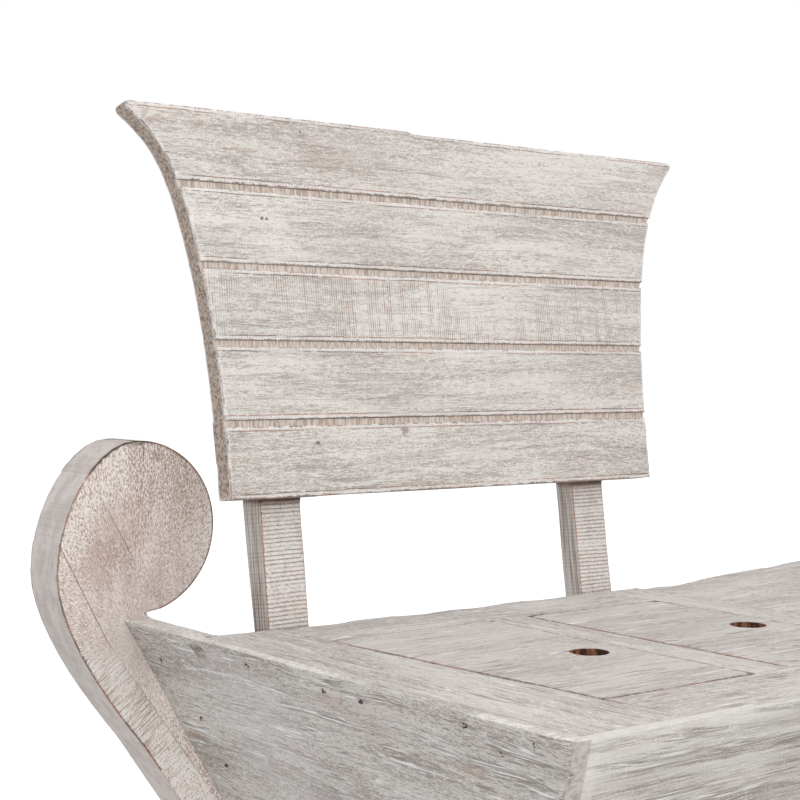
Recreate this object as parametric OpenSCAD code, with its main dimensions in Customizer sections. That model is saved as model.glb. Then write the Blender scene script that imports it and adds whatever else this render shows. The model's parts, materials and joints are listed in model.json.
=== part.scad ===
// Two-seat bench of reclaimed planks, with the seats facing opposite ways.
// The left seat module is drawn with its outer front seat corner at [0, 0, 0],
// X along the bench, Y to the back, Z up from the seat top. The right one is
// the same module turned half round about the middle of the bench.

/* [Overall] */
// Height of the seat top above the floor
seat_h = 450; // [400:5:480]
// Length of one seat module, from its outer edge to the middle section
module_len = 566; // [540:1:640]
// Length of the oblique middle section
centre_len = 740; // [500:10:850]
// Depth of a seat, front edge to back edge
seat_depth = 500; // [470:1:540]
// Depth of an end slab, which stands out behind the seat
end_depth = 650; // [620:1:720]

/* [Box] */
// Height of the box walls below the seat top
box_depth = 270; // [220:5:300]
// Thickness of the sloping end planks
end_t = 25; // [18:1:32]
// Thickness of the front, back and middle wall planks
wall_t = 25; // [18:1:32]
// Thickness of the bottom boards
bottom_t = 20; // [14:1:26]
// Thickness of the partitions
partition_t = 22; // [16:1:28]
// How far an end slab splays outward to its back, in degrees
end_splay = 0.97; // [0:0.01:1.2]
// How far an end slab slopes in for each unit down
end_slope = 0.565; // [0.4:0.005:0.65]
// Level width of the end slab's front end that shows beside the front planks
corner_strip = 16; // [10:1:24]
// How far the front slopes in for each unit down
front_slope = 0.8; // [0.4:0.01:0.9]
// How far the back wall and the backrest lean for each unit of height
back_slope = 0.1336; // [0.05:0.001:0.2]
// Ledge of the back wall outside the seat's back edge
back_ledge = 20; // [8:1:26]
// Height of the upper plank of each wall
upper_plank_h = 123; // [100:1:150]

/* [Seat boards] */
// Thickness of the seat boards and lids
seat_t = 22; // [16:1:28]
// Level width of the plank edge that shows round the seat boards
lip = 12; // [8:1:16]
// Width of the end board at its middle, from the outer edge
end_board_w = 101; // [90:1:120]
// How much wider the end board is at its front than at its back
end_board_taper = 40; // [0:2:50]
// Width of the front board, from the front edge
front_board_w = 90; // [75:1:110]
// Width of the back board
back_board_w = 69; // [55:1:90]
// Width of the divider between the lids
divider_w = 43; // [36:1:60]
// Gap between the seat boards' back edge and the plane of the backrest
seat_post_gap = 6; // [4:1:8]
// Width of the inner board, next to the middle section
inner_board_w = 52; // [40:1:70]

/* [Lids] */
// Gap round each lid
lid_gap = 2.5; // [1.5:0.5:4]
// Diameter of a finger hole
finger_d = 34; // [26:1:40]
// Place of a finger hole across its lid, as a share of the opening
finger_share = 0.765; // [0.7:0.005:0.78]
// How far the outer lid's finger hole lies in front of the lid's middle
outer_finger_shift = 17; // [0:1:40]
// Width of a lid batten
batten_w = 18; // [12:1:20]
// Thickness of a lid batten
batten_t = 14; // [10:1:18]
// Clearance between a batten and the rails
batten_gap = 3; // [2:0.5:6]
// Width of the rails that carry the lids
rail_w = 34; // [28:1:44]
// Thickness of the rails
rail_t = 18; // [14:1:24]
// How far a rail stands out under the lid
rail_seat = 15; // [10:1:20]

/* [Backrest] */
// Height of the backrest's lower edge above the seat
back_lift = 123; // [100:1:160]
// Widths of the five boards, lowest first
back_boards = [76, 78, 76, 79, 71];
// Thickness of the boards
back_t = 25; // [18:1:32]
// Half the width of the backrest at its lower edge
back_half_low = 279; // [240:1:290]
// How much further the hollow sides reach at the top
back_flare = 57; // [30:1:70]
// How much further still the tips of the top board reach
tip_flare = 35; // [0:1:40]
// How late the outer and the inner side turn out to their tips
tip_power = [14, 8];
// Radius of the top corners
back_corner_r = 5; // [4:1:10]
// How far its middle lies inward of the middle between its posts
back_shift = 4; // [-10:1:10]
// Width of the groove at each joint
groove_w = 6; // [3:0.5:8]
// Depth of the groove at each joint
groove_d = 3; // [2:0.5:6]
// Width of a post
post_w = 47; // [40:1:60]
// Thickness of a post
post_t = 29; // [24:1:40]
// Thickness of the outer post from the backrest's lower edge up
outer_post_top_t = 36; // [29:1:44]
// Middle of the outer post, from the outer seat edge
outer_post_in = 102.5; // [96:0.5:116]
// Middle of the inner post, from the middle section
inner_post_in = 52.5; // [40:0.5:70]
// How far a post stops below the backrest's top edge
post_below_top = 45; // [20:5:90]

/* [Scroll boards] */
// Thickness of a scroll board
scroll_t = 66; // [50:1:76]
// Radius of the disc at its head
disc_r = 88; // [75:1:90]
// Height of the disc's middle above the seat
disc_up = 91; // [88:1:100]

/* [Feet and fixings] */
// Thickness of a foot board
foot_t = 65; // [50:1:80]
// Distance from the floor's front line to the front of the foot
foot_front = 50; // [30:5:90]
// Height of the foot's toe
toe_h = 45; // [30:5:70]
// How far a foot board stands outward of the box's lower edge
foot_out = 10; // [0:1:20]
// Width of the cleat behind each end slab
cleat_w = 75; // [60:1:80]
// Thickness of that cleat
cleat_t = 28; // [22:1:36]
// Diameter of a nail head
nail_head_d = 5; // [4:0.5:8]
// Thickness of a nail head, and how much of it stands out of the wood
nail_head_t = 2; // [1.5:0.5:3]
nail_head_out = 0.7; // [0.3:0.1:1.2]
// Diameter of a nail
nail_d = 3; // [2:0.5:4]
// Length of a nail
nail_len = 38; // [30:1:45]
// Diameter of a coach bolt
bolt_d = 8; // [6:1:10]
// Diameter of its head
bolt_head_d = 20; // [16:1:24]
// Height of its head
bolt_head_t = 4; // [3:1:6]
// Height of its nut
nut_t = 6; // [5:1:8]

/* [Hidden] */
$fn = 64;
// Reach of cutting shapes, well past every piece
far = 2000;
// Length of the whole bench between its outer seat edges
bench_len = 2 * module_len + centre_len;
// Open line between planks that are drawn together
joint_line = 0.4;
// How far the second seat lies behind the first
seat_shift = end_depth - seat_depth;
// Level width of a sloping plank: its thickness over the cosine of its slope
end_w = end_t * sqrt(1 + end_slope * end_slope);
front_w = wall_t * sqrt(1 + front_slope * front_slope);
back_w = wall_t * sqrt(1 + back_slope * back_slope);
// Underside of the box's bottom boards
under_z = -box_depth - bottom_t;
// Heights of the two planks of a wall that stands under the seat boards
wall_spans = [[-upper_plank_h, -seat_t], [-box_depth, -upper_plank_h - joint_line]];
// Openings in the seat boards, from left to right
lid_y0 = front_board_w;
lid_y1 = seat_depth - back_board_w;
lid_w = (module_len - inner_board_w - divider_w - end_board_w) / 2;
opening_x = [end_board_w, end_board_w + lid_w + divider_w];
// Slanting joint between the end board and the boards and lid beside it
function end_joint(y) = end_board_w + end_board_taper * (0.5 - y / seat_depth);
// Backrest frame
lean = atan(back_slope);
function sum_to(list, n) = n <= 0 ? 0 : list[n - 1] + sum_to(list, n - 1);
back_h = sum_to(back_boards, len(back_boards));
// Back face of the backrest at seat level, which is also the front of the posts
post_y = seat_depth + back_ledge;
// Middles of the posts and of the backrest along the bench
post_at = [outer_post_in, module_len - inner_post_in];
back_mid = (post_at[0] + post_at[1]) / 2 + back_shift;
// Back edge of the seat boards
seat_back_y = post_y - seat_post_gap;

SIDE_PIECES = [
  "scroll_outer_plank", "scroll_middle_plank", "scroll_ear",
  "end_plank_upper", "end_plank_lower", "end_cleat",
  "front_plank_upper", "front_plank_lower", "rear_planks",
  "bulkhead", "partition", "lid_rails",
  "seat_end_board", "seat_front_board", "seat_back_board",
  "seat_divider", "seat_inner_board",
  "outer_lid", "inner_lid",
  "outer_post", "inner_post",
  "back_board_1", "back_board_2", "back_board_3", "back_board_4", "back_board_5",
  "foot"
];
NODES = concat(
  [for (side = ["left", "right"], piece = SIDE_PIECES) str(side, "_", piece)],
  ["centre_top_planks", "centre_front_planks", "centre_rear_planks",
   "bottom_boards", "nails", "post_bolts"]
);
node = "all";

// Whitewashed colours of the wood
function bleached() = [0.80, 0.78, 0.75];
function grey_wash() = [0.68, 0.67, 0.66];
function pink_wash() = [0.80, 0.74, 0.70];
function inner_wood() = [0.55, 0.47, 0.40];

// A module seen from the end: an outline in Y and Z, drawn along X
module along_x(x0, x1)
  translate([x0, 0, 0]) rotate([90, 0, 90]) linear_extrude(x1 - x0) children();

// A module seen from the front: an outline in X and Z, drawn along Y
module along_y(y0, y1)
  translate([0, y1, 0]) rotate([90, 0, 0]) linear_extrude(y1 - y0) children();

// The end slab and all that meets it are turned outward about the front corner
module splayed()
  rotate([0, 0, end_splay]) children();

// Everything inward of the end slope, moved in by inset, between two levels
module inside_end(inset, z0, z1)
  splayed() along_y(-far, far) polygon([
    [inset - end_slope * z0, z0], [far, z0],
    [far, z1], [inset - end_slope * z1, z1]
  ]);

// Everything behind the front slope, moved back by inset, between two levels
module inside_front(inset, z0, z1, x0 = -far, x1 = far)
  along_x(x0, x1) polygon([
    [inset - front_slope * z0, z0], [far, z0],
    [far, z1], [inset - front_slope * z1, z1]
  ]);

// Everything in front of the back wall's outer face, less inset
module inside_back(inset, z0, z1, x0 = -far, x1 = far)
  along_x(x0, x1) polygon([
    [-far, z0], [post_y - inset + back_slope * z0, z0],
    [post_y - inset + back_slope * z1, z1], [-far, z1]
  ]);

// The space that the seat boards fill, inside the lip of the walls
module seat_space()
  intersection() {
    inside_end(lip, -seat_t, 0);
    inside_front(lip, -seat_t, 0);
    cube_between([-far, 0, -seat_t], [module_len, seat_back_y, 0]);
  }

module cube_between(low, high)
  translate(low) cube(high - low);

// Sloping planks of the end slab
module end_plank(z0, z1)
  color(grey_wash()) difference() {
    intersection() {
      splayed() along_y(-far, far) polygon([
        [-end_slope * z0, z0], [end_w - end_slope * z0, z0],
        [end_w - end_slope * z1, z1], [-end_slope * z1, z1]
      ]);
      inside_front(0, z0, z1);
      cube_between([-far, 0, z0], [far, end_depth, z1]);
    }
    if (z1 == 0) seat_space();
    front_space(max(z0, -box_depth), z1);
  }

// Cleat that ties the end planks to the scroll board, clear of the outer post
cleat_y = max(end_depth - cleat_w, post_y + post_t + rail_t / 4);
module end_cleat()
  color(inner_wood()) intersection() {
    splayed() along_y(-far, far) polygon([
      [end_w - end_slope * under_z, under_z],
      [end_w + cleat_t - end_slope * under_z, under_z],
      [end_w + cleat_t + end_slope * seat_t, -seat_t],
      [end_w + end_slope * seat_t, -seat_t]
    ]);
    cube_between([-far, cleat_y, under_z], [far, end_depth, -seat_t]);
  }

// The space of the front planks, which lap over the slab's front end
module front_space(z0, z1)
  intersection() {
    along_x(-far, module_len) polygon([
      [-front_slope * z0, z0], [front_w - front_slope * z0, z0],
      [front_w - front_slope * z1, z1], [-front_slope * z1, z1]
    ]);
    inside_end(corner_strip, z0, z1);
  }

// Sloping planks of the front
module front_plank(z0, z1)
  color(bleached()) difference() {
    front_space(z0, z1);
    if (z1 == 0) seat_space();
  }

// Two planks that close the back and carry the posts
module rear_planks()
  color(inner_wood()) for (span = wall_spans)
    intersection() {
      along_x(0, module_len) polygon([
        [post_y - back_w + back_slope * span[0], span[0]],
        [post_y + back_slope * span[0], span[0]],
        [post_y + back_slope * span[1], span[1]],
        [post_y - back_w + back_slope * span[1], span[1]]
      ]);
      inside_end(end_w, span[0], span[1]);
    }

// Upright board across the inside of the box
module cross_board(x0)
  color(inner_wood()) difference() {
    intersection() {
      inside_front(front_w, -box_depth, -seat_t, x0, x0 + partition_t);
      inside_back(back_w, -box_depth, -seat_t, x0, x0 + partition_t);
    }
    rail_boxes(1);
  }

module bulkhead() cross_board(module_len - partition_t);

module partition() cross_board(opening_x[1] - (divider_w + partition_t) / 2);

// Rails under the front and back boards, on which the lids rest
module lid_rails()
  color(inner_wood()) intersection() {
    inside_end(end_w, -seat_t - rail_t, -seat_t);
    rail_boxes(0);
  }

// The rails with square ends; as a cutting shape they reach over by some way
module rail_boxes(over)
  for (y = [lid_y0 + rail_seat - rail_w, lid_y1 - rail_seat])
    cube_between([-over, y, -seat_t - rail_t], [module_len + over, y + rail_w, -seat_t + over]);

// Flush boards round the lids
module seat_end_board()
  color(bleached()) intersection() {
    seat_space();
    beside_end(-far, 0, seat_back_y);
  }

module seat_front_board()
  color(bleached()) intersection() {
    seat_space();
    beside_end(module_len - inner_board_w, 0, lid_y0);
  }

module seat_back_board()
  color(bleached()) beside_end(module_len - inner_board_w, lid_y1, seat_back_y);

// A seat board between the slanting joint, moved in by gap, and a straight edge
module beside_end(x, y0, y1, gap = 0)
  translate([0, 0, -seat_t]) linear_extrude(seat_t) polygon([
    [end_joint(y0) + gap, y0], [x, y0], [x, y1], [end_joint(y1) + gap, y1]
  ]);

module seat_divider()
  color(bleached())
    cube_between([opening_x[1] - divider_w, lid_y0, -seat_t], [opening_x[1], lid_y1, 0]);

module seat_inner_board()
  color(bleached()) intersection() {
    seat_space();
    cube_between([module_len - inner_board_w, 0, -seat_t], [module_len, seat_back_y, 0]);
  }

// Top of a lid: the outer one follows the slanting joint, the inner one is square
module outer_lid_top()
  beside_end(end_board_w + lid_w - lid_gap, lid_y0 + lid_gap, lid_y1 - lid_gap, lid_gap);

module inner_lid_top()
  cube_between([opening_x[1] + lid_gap, lid_y0 + lid_gap, -seat_t],
               [opening_x[1] + lid_w - lid_gap, lid_y1 - lid_gap, 0]);

// Lift-out lid: its top, given as the child, its finger hole and two battens
module lid(x0, batten_from, finger_shift) {
  finger_x = x0 + lid_w * finger_share;
  finger_y = (lid_y0 + lid_y1) / 2 - finger_shift;
  batten_y0 = lid_y0 + rail_seat + batten_gap;
  batten_y1 = lid_y1 - rail_seat - batten_gap;
  // The inner batten stands between the finger hole and the lid's edge
  batten_x = [batten_from + lid_gap + batten_w, finger_x + finger_d / 2 + batten_gap / 2];
  color(bleached()) difference() {
    children();
    translate([finger_x, finger_y, -seat_t - 1]) cylinder(d = finger_d, h = seat_t + 2);
  }
  color(inner_wood()) for (x = batten_x)
    cube_between([x, batten_y0, -seat_t - batten_t],
                 [x + batten_w, batten_y1, -seat_t - joint_line]);
}

module outer_lid() lid(opening_x[0], end_joint(lid_y0), outer_finger_shift) outer_lid_top();

module inner_lid() lid(opening_x[1], opening_x[1], 0) inner_lid_top();

// Boards and posts of the backrest, drawn flat and then leaned back.
// Its own Y runs up the boards, its own Z towards the sitter.
module leaned()
  translate([back_mid, post_y, 0])
    rotate([90 - lean, 0, 0]) children();

// Height of the lower edge above the seat, measured along the boards
back_low = back_lift / cos(lean);
// How far its outer side, 0, or inner side, 1, reaches at a height above its lower edge
function half_at(side, up) =
  let (rise = max(up, 0) / back_h)
    back_half_low + back_flare * pow(rise, 2.5) + tip_flare * pow(rise, tip_power[side]);

// Outline of one side between two heights; the top corners are rounded, and the
// sides meet them at about 45 degrees
function side_points(side, up0, up1, steps) =
  [for (i = [0:steps]) let (up = up0 + (up1 - up0) * i / steps)
    [half_at(side, up), back_low + up]];
function top_points(side) =
  let (r = back_corner_r, up = back_h - r * (1 + sin(45)), x = half_at(side, up) - r * cos(45))
    concat(side_points(side, sum_to(back_boards, 4), up, 10),
      [for (a = [-30:15:90]) [x + r * cos(a), back_low + back_h + r * (sin(a) - 1)]]);
function board_side(side, i) =
  i == 4 ? top_points(side)
         : side_points(side, sum_to(back_boards, i), sum_to(back_boards, i + 1), 8);
function mirrored(points) =
  [for (i = [len(points) - 1:-1:0]) [-points[i][0], points[i][1]]];

module back_board(i) {
  color(bleached()) leaned() difference() {
    linear_extrude(back_t) polygon(concat(board_side(1, i), mirrored(board_side(0, i))));
    if (i < 4)
      translate([-far / 2, back_low + sum_to(back_boards, i + 1) - groove_w, back_t - groove_d])
        cube([far, groove_w + 1, groove_d + 1]);
  }
}

// A post is post_t thick at the seat and top_t from the backrest up. The foot
// of the outer one is cut to the slope of the end planks.
module post(x, top_t)
  color(grey_wash()) intersection() {
    leaned() along_x(x - back_mid - post_w / 2, x - back_mid + post_w / 2) polygon([
      [post_low, 0], [post_top, 0], [post_top, -top_t],
      [back_low, -top_t], [0, -post_t], [post_low, -post_t]
    ]);
    inside_end(end_w, -far, far);
  }

// Ends of a post along the lean; its foot stops a little above the box's underside
post_foot_gap = 4;
post_low = -box_depth / cos(lean) + post_foot_gap;
post_top = back_low + back_h - post_below_top;

// A smooth curve from a to d that leaves towards b and arrives from c, in n steps
function bezier(a, b, c, d, t) =
  pow(1 - t, 3) * a + 3 * pow(1 - t, 2) * t * b + 3 * (1 - t) * t * t * c + t * t * t * d;
function curve(a, b, c, d, n) = [for (i = [0:n]) bezier(a, b, c, d, i / n)];

// Scroll board: a disc on a swan neck that sweeps down and in to the floor.
// Its points are counted in disc radii, the upper ones from the seat and the
// lower ones from the floor.
function below_disc(x, z) = disc_r * [x, z];
function above_floor(x, z) = disc_r * [x, z] - [0, seat_h];
disc_at = [disc_r * 0.035, disc_up];
disc_top = disc_at + [0, disc_r];
// Outer edge, from the top of the disc down to the floor
neck_outer = concat(
  curve(disc_top, disc_top - [disc_r * 0.48, 0],
        below_disc(-0.94, 1.295), below_disc(-0.94, 0.545), 10),
  curve(below_disc(-0.94, 0.545), below_disc(-0.94, -0.05),
        below_disc(-0.354, -0.896), below_disc(0.152, -1.515), 10),
  curve(below_disc(0.55, -2.1), below_disc(1.29, -3.15),
        above_floor(1.72, 0.92), above_floor(1.09, 0), 10)
);
// Inner edge, from the floor up to the notch under the disc
neck_inner = concat(
  curve(above_floor(2.59, 0), above_floor(2.93, 1.26),
        below_disc(2.62, -3.17), below_disc(1.75, -2), 10),
  [below_disc(0.127, 0.085), disc_at + disc_r * [cos(-60), sin(-60)] * 0.97, disc_at]
);
// Glue lines between the three planks
outer_glue = [
  below_disc(-1.12, 1.29), below_disc(-0.91, 0.89), below_disc(-0.34, -0.21),
  below_disc(0.71, -1.7), below_disc(1.61, -2.99), above_floor(1.95, -0.1)
];
ear_glue = [
  below_disc(-0.86, 2.21), below_disc(-0.15, 0.94), below_disc(0.32, 0.11), below_disc(0.8, -0.7)
];

module scroll_board()
  along_y(end_depth, end_depth + scroll_t) {
    intersection() {
      translate(disc_at) circle(disc_r, $fn = 96);
      translate(disc_at - [joint_line, disc_r]) square([far, 2 * disc_r]);
    }
    polygon(concat(neck_outer, neck_inner));
  }

// Everything to the outer side of a glue line
module outward_of(line)
  along_y(end_depth - 1, end_depth + scroll_t + 1)
    polygon(concat([[-far, line[0][1]]], line, [[-far, line[len(line) - 1][1]]]));

module scroll_outer_plank()
  color(pink_wash()) intersection() {
    scroll_board();
    outward_of(outer_glue);
  }

module scroll_middle_plank()
  color(pink_wash()) difference() {
    scroll_board();
    outward_of(outer_glue);
    scroll_ear_space();
  }

module scroll_ear_space()
  along_y(end_depth - 1, end_depth + scroll_t + 1)
    polygon(concat(ear_glue, [[far, ear_glue[3][1]], [far, ear_glue[0][1]]]));

module scroll_ear()
  color(pink_wash()) intersection() {
    scroll_board();
    scroll_ear_space();
  }

// Foot board across the bench, with a hollow sweep down to its toe
foot_x = -end_slope * under_z - foot_out;
// Where the hollow meets the box, a little in front of the box's lower edge,
// and how steeply it gets there
toe_top_y = -front_slope * under_z - 30;
toe_pull = [20, 60];
module foot()
  color(grey_wash()) along_x(foot_x, foot_x + foot_t)
    polygon(concat(
      [[end_depth, under_z], [end_depth, -seat_h], [foot_front, -seat_h]],
      curve([foot_front, -seat_h + toe_h],
            [foot_front + (toe_top_y - foot_front) * 0.6, -seat_h + toe_h],
            [toe_top_y, under_z] - toe_pull,
            [toe_top_y, under_z], 8)
    ));

// Middle section
// Its front wall has the slope of the left front at one end, and at the other
// end the lean of the right seat's back wall.
function centre_y(end, z) =
  end == 0 ? -front_slope * z : seat_shift - back_ledge - back_slope * z;
centre_w = [front_w, back_w];

module centre_plank(z0, z1) {
  corners = [for (end = [0, 1], z = [z0, z1], w = [0, 1])
    [module_len + end * centre_len, centre_y(end, z) + w * centre_w[end], z]];
  polyhedron(corners, [
    [0, 1, 3, 2], [4, 6, 7, 5],
    [0, 4, 5, 1], [2, 3, 7, 6],
    [0, 2, 6], [0, 6, 4], [1, 5, 7], [1, 7, 3]
  ]);
}

module centre_wall_planks()
  color(bleached()) for (span = wall_spans) centre_plank(span[0], span[1]);

// Two wide planks over the middle section
module centre_top_planks()
  color(bleached()) for (edges = [[0, seat_depth / 2 - joint_line], [seat_depth / 2, seat_depth]])
    translate([0, 0, -seat_t]) linear_extrude(seat_t) polygon([
      [module_len, edges[0]],
      [module_len + centre_len, seat_shift + edges[0]],
      [module_len + centre_len, seat_shift + edges[1]],
      [module_len, edges[1]]
    ]);

module module_bottom()
  intersection() {
    inside_end(end_w, under_z, -box_depth);
    inside_front(0, under_z, -box_depth, 0, module_len);
    inside_back(0, under_z, -box_depth, 0, module_len);
  }

module centre_bottom() {
  front_y = -front_slope * under_z;
  back_y = post_y + back_slope * under_z;
  translate([0, 0, under_z]) linear_extrude(bottom_t) polygon([
    [module_len + joint_line, front_y],
    [module_len + centre_len - joint_line, end_depth - back_y],
    [module_len + centre_len - joint_line, end_depth - front_y],
    [module_len + joint_line, back_y]
  ]);
}

module bottom_boards()
  color(inner_wood()) {
    place("left") {
      module_bottom();
      centre_bottom();
    }
    place("right") module_bottom();
  }

// Nails through the end planks: into the edge of the seat's end board, into a
// rail, and into the cleat. Each is [distance along Y, depth below the seat].
// Shares of the seat's depth, and of its thickness
seat_nails = [[0.09, 0.5], [0.245, 0.5], [0.513, 0.75], [0.618, 0.75], [0.856, 0.6]];
// Shares of the cleat's width from the back, and of the box's depth
cleat_nails = [[0.49, 0.137], [0.81, 0.355], [0.81, 0.54], [0.51, 0.76]];
nail_places = concat(
  [for (n = seat_nails) [n[0] * seat_depth, n[1] * seat_t]],
  [[lid_y0 + rail_seat - rail_w / 3, seat_t + rail_t / 3]],
  [for (n = cleat_nails) [end_depth - n[0] * (end_depth - cleat_y), n[1] * box_depth]]
);
module nail() {
  cylinder(d = nail_d, h = nail_len, $fn = 24);
  translate([0, 0, -nail_head_out]) cylinder(d = nail_head_d, h = nail_head_t, $fn = 24);
}

module nails()
  color([0.25, 0.23, 0.22]) for (side = ["left", "right"]) place(side)
    splayed() for (n = nail_places)
      translate([end_slope * n[1], n[0], -n[1]])
        rotate([0, 90, 0]) nail();

// Coach bolts through each post and the back wall
bolt_z = [-45, -100];
module post_bolts()
  color([0.3, 0.29, 0.28]) for (side = ["left", "right"]) place(side)
    leaned() for (x = post_at, z = bolt_z)
      translate([x - back_mid, z, -post_t]) {
        cylinder(d = bolt_d, h = post_t + wall_t, $fn = 32);
        translate([0, 0, -bolt_head_t]) cylinder(d = bolt_head_d, h = bolt_head_t, $fn = 32);
        translate([0, 0, post_t + wall_t]) cylinder(d = bolt_head_d, h = nut_t, $fn = 6);
      }

// The left module in its place, or the same turned half round
module place(side)
  rotate([0, 0, side == "right" ? 180 : 0])
    translate([-bench_len / 2, -end_depth / 2, seat_h]) children();

function wanted(name) = node == "all" || node == name;

for (side = ["left", "right"]) {
  if (wanted(str(side, "_scroll_outer_plank"))) place(side) scroll_outer_plank();
  if (wanted(str(side, "_scroll_middle_plank"))) place(side) scroll_middle_plank();
  if (wanted(str(side, "_scroll_ear"))) place(side) scroll_ear();
  if (wanted(str(side, "_end_plank_upper"))) place(side) end_plank(-upper_plank_h, 0);
  if (wanted(str(side, "_end_plank_lower"))) place(side) end_plank(under_z, -upper_plank_h);
  if (wanted(str(side, "_end_cleat"))) place(side) end_cleat();
  if (wanted(str(side, "_front_plank_upper"))) place(side) front_plank(-upper_plank_h, 0);
  if (wanted(str(side, "_front_plank_lower"))) place(side) front_plank(-box_depth, -upper_plank_h);
  if (wanted(str(side, "_rear_planks"))) place(side) rear_planks();
  if (wanted(str(side, "_bulkhead"))) place(side) bulkhead();
  if (wanted(str(side, "_partition"))) place(side) partition();
  if (wanted(str(side, "_lid_rails"))) place(side) lid_rails();
  if (wanted(str(side, "_seat_end_board"))) place(side) seat_end_board();
  if (wanted(str(side, "_seat_front_board"))) place(side) seat_front_board();
  if (wanted(str(side, "_seat_back_board"))) place(side) seat_back_board();
  if (wanted(str(side, "_seat_divider"))) place(side) seat_divider();
  if (wanted(str(side, "_seat_inner_board"))) place(side) seat_inner_board();
  if (wanted(str(side, "_outer_lid"))) place(side) outer_lid();
  if (wanted(str(side, "_inner_lid"))) place(side) inner_lid();
  if (wanted(str(side, "_outer_post"))) place(side) post(post_at[0], outer_post_top_t);
  if (wanted(str(side, "_inner_post"))) place(side) post(post_at[1], post_t);
  for (i = [0:4])
    if (wanted(str(side, "_back_board_", i + 1))) place(side) back_board(i);
  if (wanted(str(side, "_foot"))) place(side) foot();
}
if (wanted("centre_top_planks")) place("left") centre_top_planks();
if (wanted("centre_front_planks")) place("left") centre_wall_planks();
if (wanted("centre_rear_planks")) place("right") centre_wall_planks();
if (wanted("bottom_boards")) bottom_boards();
if (wanted("nails")) nails();
if (wanted("post_bolts")) post_bolts();
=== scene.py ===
"""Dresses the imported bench: weathered, whitewashed planks with worn arrises, saw marks and knots."""
import json
import math

import bmesh
import bpy
import numpy as np
from mathutils import Matrix, Vector, noise
from mathutils.bvhtree import BVHTree

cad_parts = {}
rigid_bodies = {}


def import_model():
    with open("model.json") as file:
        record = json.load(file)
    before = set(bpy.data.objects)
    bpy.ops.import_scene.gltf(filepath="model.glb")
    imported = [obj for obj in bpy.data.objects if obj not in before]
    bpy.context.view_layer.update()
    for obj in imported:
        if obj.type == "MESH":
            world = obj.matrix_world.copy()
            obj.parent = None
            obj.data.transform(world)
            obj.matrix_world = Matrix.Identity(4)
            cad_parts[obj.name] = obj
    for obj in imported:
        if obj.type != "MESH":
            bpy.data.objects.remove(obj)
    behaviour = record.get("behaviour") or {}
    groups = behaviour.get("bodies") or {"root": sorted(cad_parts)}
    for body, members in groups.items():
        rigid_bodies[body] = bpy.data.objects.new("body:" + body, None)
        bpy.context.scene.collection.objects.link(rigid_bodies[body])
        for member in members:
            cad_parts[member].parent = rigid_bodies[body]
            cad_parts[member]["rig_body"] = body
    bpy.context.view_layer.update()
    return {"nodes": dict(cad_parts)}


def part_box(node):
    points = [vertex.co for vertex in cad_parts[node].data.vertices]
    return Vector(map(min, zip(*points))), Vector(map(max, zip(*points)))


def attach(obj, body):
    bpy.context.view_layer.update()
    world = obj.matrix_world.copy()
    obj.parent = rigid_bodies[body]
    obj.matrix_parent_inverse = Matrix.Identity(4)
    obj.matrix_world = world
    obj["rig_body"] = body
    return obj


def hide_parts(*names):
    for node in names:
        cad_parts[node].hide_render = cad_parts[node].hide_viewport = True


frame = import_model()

MM = 0.001

# Sizes of the construction that the wood's own coordinates follow
MODULE_LENGTH = 566 * MM
END_SLOPE = 0.565
FRONT_SLOPE = 0.8
BACK_SLOPE = 0.1336
BACKREST_LIFT = 123 * MM
BACKREST_Y = 520 * MM
BACK_HEIGHT = 375 * MM
SEAT_MIDDLE = 283 * MM
HOLE_MIDDLES = ((242.5 * MM, 243.5 * MM), (470.5 * MM, 260.5 * MM))
HOLE_REACH = 20 * MM

# Heights above the backrest's back between which a face is the floor of a groove
GROOVE_FLOOR = (15 * MM, 23 * MM)
# How far the worn outer tip of the backrest reaches beyond its plank, how far up, and where it starts
TIP_REACH = 5 * MM
TIP_RISE = 2 * MM
TIP_START = 0.84
# How far the painted shade under the backrest spreads on a post
PAINTED_SHADE_REACH = 9 * MM

ALONG = Vector((1, 0, 0))
DEEP = Vector((0, 1, 0))
UP = Vector((0, 0, 1))
END_UP = Vector((-END_SLOPE, 0, 1)).normalized()
END_OUT = Vector((-1, 0, -END_SLOPE)).normalized()
FRONT_OUT = Vector((0, -1, -FRONT_SLOPE)).normalized()
BACK_UP = Vector((0, BACK_SLOPE, 1)).normalized()
BACK_OUT = Vector((0, -1, BACK_SLOPE)).normalized()

# Angles that tell a plank's arris from the facets of a curve, and a flat face from its triangles
ARRIS_ANGLE = math.radians(28)
FLAT_ANGLE = math.radians(0.8)
WELD = 0.01 * MM
# Solids closer than this are joined, and their arrises there stay sharp
JOINT_GAP = 1 * MM
# Arrises are looked at in lengths of about this, as one may be a joint over a part only
JOINT_STEP = 60 * MM
# Where an arris is tested for a joint, and how many of these places have to be one
JOINT_SHARES = (0.2, 0.5, 0.8)
JOINT_HITS = 2
# Cosine from which a segment counts as running along the grain
RUNS_ALONG = 0.96
# How far from a joint the wear begins, so that the joint stays tight
TIGHT_REACH = 2 * MM
# How far the wear of a corner and of a wavy edge reaches
CORNER_REACH = 6 * MM
WAVY_REACH = 8 * MM
# Step of the slices through a plank's thickness
THICKNESS_CELL = 6 * MM


def seat_corner():
    """The outer front corner of the left seat's top, where the seat's own frame has its origin."""
    slab_low, slab_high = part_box("left_end_plank_upper")
    board_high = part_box("left_seat_inner_board")[1]
    return Vector((board_high.x - MODULE_LENGTH, slab_low.y, slab_high.z))


def seat_frame(side):
    """Takes a point of the bench to the frame of one seat: X along it, Y to its back, Z up from its top."""
    turn = Matrix.Rotation(math.pi, 4, "Z") if side == "right" else Matrix.Identity(4)
    return Matrix.Translation(-seat_corner()) @ turn


# Which arrises are joints


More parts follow.
